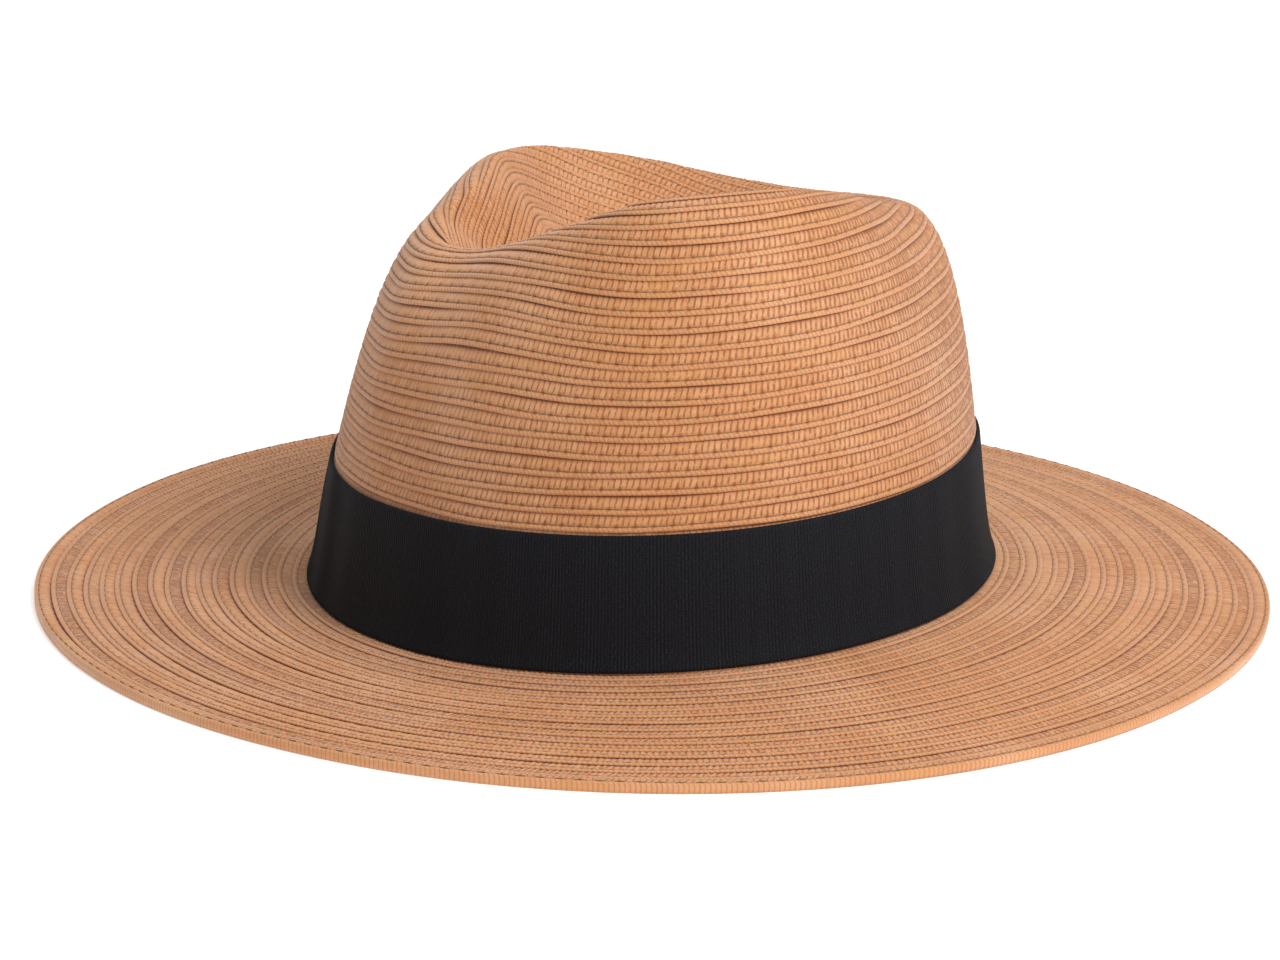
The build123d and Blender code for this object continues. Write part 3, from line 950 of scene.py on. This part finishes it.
def wall_radius(angle, above):
    """Radius of the crown wall at a height above the headline: the four nearest values, blended."""
    a = (angle / (2 * np.pi) % 1.0) * (len(WALL_TURN) - 1)
    h = (above - WALL_ABOVE[0]) / (WALL_ABOVE[1] - WALL_ABOVE[0])
    a, h = np.broadcast_arrays(a, h)
    i = np.clip(np.floor(a).astype(int), 0, len(WALL_TURN) - 2)
    j = np.clip(np.floor(h).astype(int), 0, len(WALL_ABOVE) - 2)
    u, v = a - i, h - j
    low = WALL_RADII[i, j] * (1 - u) + WALL_RADII[i + 1, j] * u
    high = WALL_RADII[i, j + 1] * (1 - u) + WALL_RADII[i + 1, j + 1] * u
    return low * (1 - v) + high * v


def band_points(angle, above, offset):
    """Points at heights above the headline, offset outwards from the crown wall."""
    radius = wall_radius(angle, above) + offset
    z = headline_height(radius * np.sin(angle)) + above
    return np.stack([radius * np.sin(angle), -radius * np.cos(angle), z], axis=-1)


def bent_band(angles, bottom, width, inner, outer, levels, edge, relief=None):
    """Grid of a band's closed profile for each direction: outside from the lower edge up, then down
    the inside. The edges are rounded, and relief(angle, above) adds height to the outside."""
    v = np.asarray(levels)
    rim = edge / width
    v = np.concatenate([[0.0, 0.3 * rim], rim + (1 - 2 * rim) * v, [1 - 0.3 * rim, 1.0]])
    swell = np.concatenate([[0.45, 0.85], np.ones(len(levels)), [0.85, 0.45]])
    back = v[1:-1][::-1][::3]
    above = bottom + width * np.concatenate([v, back])[None, :] + 0.0 * angles[:, None]
    share = np.concatenate([swell, np.zeros(len(back))])[None, :]
    offset = inner + share * (outer - inner)
    if relief is not None:
        offset = offset + (share > 0) * relief(angles[:, None], above)
    return band_points(angles[:, None] + 0.0 * above, above, offset), above


def cloth_piece(name, angles, closed, material, slot, node, flat, rests, **profile):
    """A band of cloth as a finished piece. Its UV is u along and v up, in metres. The flat argument is
    not used.
    """
    points, above = bent_band(angles, **profile)
    lengths = np.linalg.norm(np.diff(points[:, 0], axis=0), axis=1)
    u = np.concatenate([[0.0], np.cumsum(lengths)])[:, None]
    uv = np.stack(np.broadcast_arrays(u, above), axis=-1)
    piece = grid_mesh(name, points, closed_rows=closed, uv=uv)
    if profile["outer"] < profile["inner"]:
        piece.data.flip_normals()
    finish_piece(piece, material, slot, node)
    return piece


# %% A shared group for woven cloth
PICK_SHARE = 0.35
FIBRE_SCALE = (1600.0, 5200.0)


def make_cloth_group():
    """Woven cloth from two thread counts: ribs across u, picks across v, and loose fibres."""
    tree, inside, out = group_with(
        "WovenCloth",
        (("UV", "NodeSocketVector", None), ("Rib Pitch", "NodeSocketFloat", 0.0009),
         ("Pick Pitch", "NodeSocketFloat", 0.0003)),
        (("Height", "NodeSocketFloat"), ("Gaps", "NodeSocketFloat"), ("Fibres", "NodeSocketFloat")),
    )
    along, up, _ = new_node(tree, "SeparateXYZ", Vector=inside.outputs["UV"]).outputs
    waves = []
    for socket, pitch in ((along, "Rib Pitch"), (up, "Pick Pitch")):
        count = math_node(tree, "DIVIDE", socket, inside.outputs[pitch])
        waves.append(math_node(tree, "COSINE", times(tree, count, 2 * math.pi)))
    link(tree, plus(tree, waves[0], times(tree, waves[1], PICK_SHARE)), out.inputs["Height"])
    # gaps between the ribs: a mask for painted shade
    link(tree, ramp_between(tree, waves[0], -0.4, -1.0), out.inputs["Gaps"])
    link(tree, streaky(tree, inside.outputs["UV"], FIBRE_SCALE, 3.0, 0.6), out.inputs["Fibres"])
    return tree


cloth_group = make_cloth_group()
print("group", cloth_group.name)


def cloth_material(name, colour, light, rib, pick, sheen, specular, depth):
    """Woven cloth: painted shade between the ribs, lighter on loose fibres, with the weave as bump."""
    material, tree, shader = new_material(
        name, Roughness=0.7, Specular_IOR_Level=specular, Sheen_Weight=sheen, Sheen_Roughness=0.4)
    weave = use_group(tree, cloth_group, UV=row_uv(tree), Rib_Pitch=rib, Pick_Pitch=pick)
    mixed = colour_mix(tree, ramp_between(tree, weave["Fibres"], 0.4, 0.75), colour, light)
    # painted shade in the gaps between the ribs
    dark = tuple(0.45 * c for c in colour)
    mixed = colour_mix(tree, times(tree, weave["Gaps"], 0.7), mixed, dark)
    link(tree, mixed, shader.inputs["Base Color"])
    add_bump(tree, shader, plus(tree, weave["Height"], weave["Fibres"]), 0.5, depth)
    return material


# %% The ribbon and its lapped end
JOIN_ANGLE = math.radians(140.0)
JOIN_SPAN = math.radians(18.0)
LAYER_GAP = 0.05 * MM
RIBBON_DROP = 0.35 * MM
RIBBON_LEVELS = (0.0, 0.03, 0.08, 0.16, 0.28, 0.42, 0.56, 0.70, 0.84, 0.92, 0.97, 1.0)
RIBBON_GIRTH = math.pi * (HEAD_LENGTH + HEAD_WIDTH) / 2
RIBBON_RIBS = int(round(RIBBON_GIRTH / RIBBON_RIB))
STEPS_PER_RIB = 4
LAPPED_STEPS = 133


def ribbon_relief(angle, above):
    """Rib relief cos(ribs a), and long shallow waves from steaming that fade towards the lower edge."""
    rib = 0.06 * MM * np.cos(angle * RIBBON_RIBS)
    slack = np.sin(3.0 * angle + 0.7) + 0.7 * np.sin(7.0 * angle + 40.0 * above)
    return rib + 0.10 * MM * slack * np.sin(np.pi * np.clip(above / RIBBON_WIDTH, 0.0, 1.0))


# near-black grosgrain; the blue tint in its two colours is painted sheen
grosgrain = cloth_material(
    "black_grosgrain", (0.0048, 0.0050, 0.0064), (0.026, 0.027, 0.036), rib=RIBBON_RIB,
    pick=0.2 * MM, sheen=0.03, specular=0.12, depth=0.06 * MM)
around = np.linspace(0, 2 * np.pi, RIBBON_RIBS * STEPS_PER_RIB, endpoint=False)
ribbon_shape = {"bottom": RIBBON_LIFT - RIBBON_DROP, "width": RIBBON_WIDTH + RIBBON_DROP,
                "levels": RIBBON_LEVELS, "edge": 0.9 * MM, "relief": ribbon_relief}
ribbon_inner = RIBBON_CLEARANCE
ribbon_outer = RIBBON_CLEARANCE + RIBBON_THICKNESS
ribbon = cloth_piece(
    "ribbon_band_cloth", around, True, grosgrain, "black_grosgrain", "ribbon_band",
    (RIBBON_WIDTH, RIBBON_GIRTH), ["crown_braid"], inner=ribbon_inner, outer=ribbon_outer,
    **ribbon_shape)

end_angles = np.linspace(JOIN_ANGLE - JOIN_SPAN / 2, JOIN_ANGLE + JOIN_SPAN / 2, LAPPED_STEPS)
lapped_inner = ribbon_outer + LAYER_GAP
lapped_outer = lapped_inner + RIBBON_THICKNESS
lapped_end = cloth_piece(
    "ribbon_lapped_cloth", end_angles, False, grosgrain, "black_grosgrain", "ribbon_lapped_end",
    (RIBBON_WIDTH, JOIN_SPAN * RIBBON_GIRTH / (2 * math.pi)), ["ribbon_band_cloth"],
    inner=lapped_inner, outer=lapped_outer, **ribbon_shape)
print("ribbon", round(RIBBON_GIRTH, 3), "m round with", RIBBON_RIBS, "ribs")


# %% Stitches on the ribbon's end and round the lining
def band_stitches(angle, above, offset, half, radius, upright):
    """Stitch tubes that lie on a band: each is a short arc that dips into the cloth at both ends."""
    along = np.array((-1.0, -0.72, 0.0, 0.72, 1.0)) * half
    dip = np.array((-1.0, 0.1, 0.45, 0.1, -1.0)) * radius
    angle, above = (np.atleast_1d(value)[:, None] for value in (angle, above))
    base = wall_radius(angle + 0.0 * above, above + 0.0 * angle)
    a = angle + 0.0 * along if upright else angle + along / base
    h = above + along if upright else above + 0.0 * along
    a, h = np.broadcast_arrays(a, h)
    centres = band_points(a, h, offset + dip[None, :] + 0.0 * a)
    lift = np.stack([np.sin(a), -np.cos(a), 0.0 * a], axis=-1)
    run = centres[:, -1:] - centres[:, :1]
    run = run / np.linalg.norm(run, axis=2, keepdims=True)
    side = np.cross(run + 0.0 * centres, lift)
    return tube_blocks(centres, side, lift, radius, 6)


JOIN_STITCHES = 7
STITCH_ROW = 0.38
STITCH_HALF = 1.3 * MM
THREAD = 0.25 * MM
black_thread = thread_material("black_thread", (0.016, 0.016, 0.018))
join_above = RIBBON_LIFT + RIBBON_WIDTH / JOIN_STITCHES * (np.arange(JOIN_STITCHES) + 0.5)
join_angle = np.full(JOIN_STITCHES, JOIN_ANGLE + JOIN_SPAN * STITCH_ROW)
join_blocks = band_stitches(join_angle, join_above, lapped_outer, STITCH_HALF, THREAD, True)
join = blocks_mesh("ribbon_end_stitches", join_blocks)
finish_piece(join, black_thread, "black_thread", "ribbon_join_stitches")
print("ribbon end:", JOIN_STITCHES, "stitches")


# %% [markdown]
# ## Inside the crown
#
# A sweatband of soft woven cloth lines the headline. It is sewn to the braid along its lower edge,
# its ends meet at the back under a tape, and a blank label sits beside them. They are bands on the
# same wall as the ribbon, set inwards, so that they follow the crown exactly.

# %% Sweatband, tape, label and their thread
SWEAT_HEIGHT = 30.0 * MM
SWEAT_THICKNESS = 1.0 * MM
SWEAT_LIFT = 0.8 * MM
SEAM_HEIGHT = 3.0 * MM
SWEAT_OUTSIDE = -(BRAID_THICKNESS + 0.3 * MM)
SWEAT_INSIDE = SWEAT_OUTSIDE - SWEAT_THICKNESS
TAPE_ANGLE = math.radians(180.0)
TAPE_SPAN = math.radians(9.0)
TAPE_THICKNESS = 0.6 * MM
LABEL_ANGLE = math.radians(200.0)
LABEL_SPAN = math.radians(17.0)
LABEL_HEIGHT = 17.0 * MM
LABEL_LIFT = 8.0 * MM
LABEL_THICKNESS = 0.4 * MM
LINING_STITCH = 2.7 * MM
LINING_STITCH_HALF = 1.15 * MM
LINING_STEPS, TAPE_STEPS, LABEL_STEPS = 1100, 40, 60
FLAT_LEVELS = (0.0, 0.02, 0.06, 0.12, 0.25, 0.40, 0.55, 0.70, 0.85, 0.94, 1.0)


def lining_relief(angle, above):
    """The lower edge is drawn in a little at every stitch of the seam: sin(n a) near the seam."""
    pull = np.exp(-((above - SWEAT_LIFT - SEAM_HEIGHT) / (2.2 * MM)) ** 2)
    count = round(RIBBON_GIRTH / LINING_STITCH)
    return -0.05 * MM * pull * (1.0 + np.sin(angle * count))


def radial_length(span, offset):
    """Length of a band over an angle, at an offset from the headline."""
    return span * (RIBBON_GIRTH / (2 * math.pi) + offset)


lining = cloth_material(
    "sweatband_cloth", (0.40, 0.29, 0.17), (0.56, 0.43, 0.28), rib=0.7 * MM, pick=0.7 * MM,
    sheen=0.1, specular=0.2, depth=0.05 * MM)
label_cloth = cloth_material(
    "label_cloth", (0.72, 0.70, 0.64), (0.85, 0.83, 0.78), rib=0.4 * MM, pick=0.4 * MM,
    sheen=0.1, specular=0.3, depth=0.03 * MM)
lining_angles = np.linspace(0, 2 * np.pi, LINING_STEPS, endpoint=False)
sweatband = cloth_piece(
    "sweatband_lining", lining_angles, True, lining, "sweatband_cloth", "sweatband",
    (SWEAT_HEIGHT, radial_length(2 * math.pi, SWEAT_INSIDE)), ["crown_braid"],
    bottom=SWEAT_LIFT, width=SWEAT_HEIGHT, inner=SWEAT_OUTSIDE, outer=SWEAT_INSIDE,
    levels=FLAT_LEVELS, edge=1.0 * MM, relief=lining_relief)
on_lining = SWEAT_INSIDE - LAYER_GAP
tape_bottom = SWEAT_LIFT + SEAM_HEIGHT + 2 * THREAD
tape_width = SWEAT_LIFT + SWEAT_HEIGHT - tape_bottom
tape_angles = TAPE_ANGLE + TAPE_SPAN * np.linspace(-0.5, 0.5, TAPE_STEPS)
tape = cloth_piece(
    "seam_tape_cloth", tape_angles, False, lining, "sweatband_cloth", "sweatband_seam_tape",
    (tape_width, radial_length(TAPE_SPAN, SWEAT_INSIDE)), ["sweatband_lining"],
    bottom=tape_bottom, width=tape_width, inner=on_lining, outer=on_lining - TAPE_THICKNESS,
    levels=FLAT_LEVELS, edge=0.5 * MM)
label_angles = LABEL_ANGLE + LABEL_SPAN * np.linspace(-0.5, 0.5, LABEL_STEPS)
label = cloth_piece(
    "blank_label_cloth", label_angles, False, label_cloth, "label_cloth", "size_label",
    (LABEL_HEIGHT, radial_length(LABEL_SPAN, SWEAT_INSIDE)), ["sweatband_lining"],
    bottom=SWEAT_LIFT + LABEL_LIFT, width=LABEL_HEIGHT, inner=on_lining,
    outer=on_lining - LABEL_THICKNESS, levels=FLAT_LEVELS, edge=0.4 * MM)
seam_count = round(radial_length(2 * math.pi, SWEAT_INSIDE) / LINING_STITCH)
seam_angle = np.linspace(0, 2 * np.pi, seam_count, endpoint=False)
seam_above = np.full(seam_count, SWEAT_LIFT + SEAM_HEIGHT)
seam_blocks = band_stitches(
    seam_angle, seam_above, on_lining, LINING_STITCH_HALF, -THREAD, False)
seam = blocks_mesh("sweatband_lock_stitches", seam_blocks)
finish_piece(seam, straw_thread, "straw_thread", "sweatband_stitching")
print("lining pieces:", [piece.name for piece in (sweatband, tape, label, seam)])

# %% [markdown]
# ## Wire in the brim's edge
#
# The outermost row is folded round a thin spring wire that keeps the brim flat, and a short sleeve
# joins its ends at the back. Both lie inside the braid. They stay as they are in the CAD and only
# get their materials: drawn steel with fine lines along it, and milky plastic.

# %% Wire and sleeve materials
def wire_material():
    """Drawn steel: metal whose roughness varies in fine scratches."""
    material, tree, shader = new_material("spring_wire", Metallic=1.0)
    scratches = noise(tree, stretched(tree, object_place(tree), (150.0, 150.0, 6000.0)), 1.0, 3.0)
    mixed = colour_mix(tree, scratches, (0.50, 0.50, 0.52), (0.70, 0.70, 0.70))
    link(tree, mixed, shader.inputs["Base Color"])
    link(tree, plus(tree, times(tree, scratches, 0.25), 0.2), shader.inputs["Roughness"])
    return material


def sleeve_material():
    """Milky plastic tube: slightly cloudy, light passes into it."""
    material, tree, shader = new_material("clear_sleeve", Roughness=0.35, Transmission_Weight=0.3)
    cloud = noise(tree, object_place(tree), 400.0, 2.0)
    mixed = colour_mix(tree, cloud, (0.72, 0.72, 0.70), (0.86, 0.86, 0.84))
    link(tree, mixed, shader.inputs["Base Color"])
    return material


def paint_node(name, material):
    """A CAD node keeps its shape and gets a material."""
    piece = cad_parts[name]
    piece.data.materials.clear()
    piece.data.materials.append(material)


paint_node("brim_edge_wire", wire_material())
paint_node("wire_joining_sleeve", sleeve_material())
print("materials:", sorted(material.name for material in bpy.data.materials))

# %% [markdown]
# ## Floor and light
#
# A pale floor, a large soft key light from the upper right and a white surround.

# %% Floor and light
FLOOR_REACH = 8.0
FLOOR_GLOW = 0.36
LIGHT_AIM = (0, 0, 0.05)
KEY_POWER, TOP_POWER = 22.8, 8.0
SURROUND_LIGHT = 0.41
SURROUND_SEEN_MORE = 0.62


def make_floor():
    """A pale square seen from above only, so that a view from below is not blocked."""
    mesh = bpy.data.meshes.new("floor")
    r = FLOOR_REACH
    mesh.from_pydata([(-r, -r, 0), (r, -r, 0), (r, r, 0), (-r, r, 0)], [], [(0, 1, 2, 3)])
    floor = add_object("floor", mesh)
    material, tree, shader = new_material(
        "pale_floor", Base_Color=(0.92, 0.92, 0.92), Roughness=0.9,
        Emission_Color=(1.0, 1.0, 1.0), Emission_Strength=FLOOR_GLOW)
    below = new_node(tree, "MixShader")
    clear = new_node(tree, "BsdfTransparent").outputs[0]
    backfacing = new_node(tree, "NewGeometry").outputs["Backfacing"]
    for socket, output in zip(below.inputs, (backfacing, shader.outputs[0], clear)):
        link(tree, output, socket)
    link(tree, below.outputs[0], tree.nodes["Material Output"].inputs["Surface"])
    mesh.materials.append(material)
    return floor


def make_light(name, place, size, power, colour):
    """A round area light aimed at the hat."""
    data = bpy.data.lights.new(name, "AREA")
    data.shape = "DISK"
    data.size = size
    data.energy = power
    data.color = colour
    return aim_object(add_object(name, data), place, LIGHT_AIM)


make_floor()
make_light("key", (0.62, -1.05, 1.25), 0.7, KEY_POWER, (1.0, 0.98, 0.95))
make_light("top", (0.1, 0.6, 1.6), 1.2, TOP_POWER, (1.0, 1.0, 1.0))
world = bpy.data.worlds.new("studio")
world.use_nodes = True
sky = world.node_tree
seen = times(sky, new_node(sky, "LightPath").outputs["Is Camera Ray"], SURROUND_SEEN_MORE)
surround = {"Color": (1.0, 1.0, 1.0), "Strength": plus(sky, seen, SURROUND_LIGHT)}
feed_all(sky, sky.nodes["Background"], surround)
bpy.context.scene.world = world
bpy.context.scene.view_settings.view_transform = "Standard"
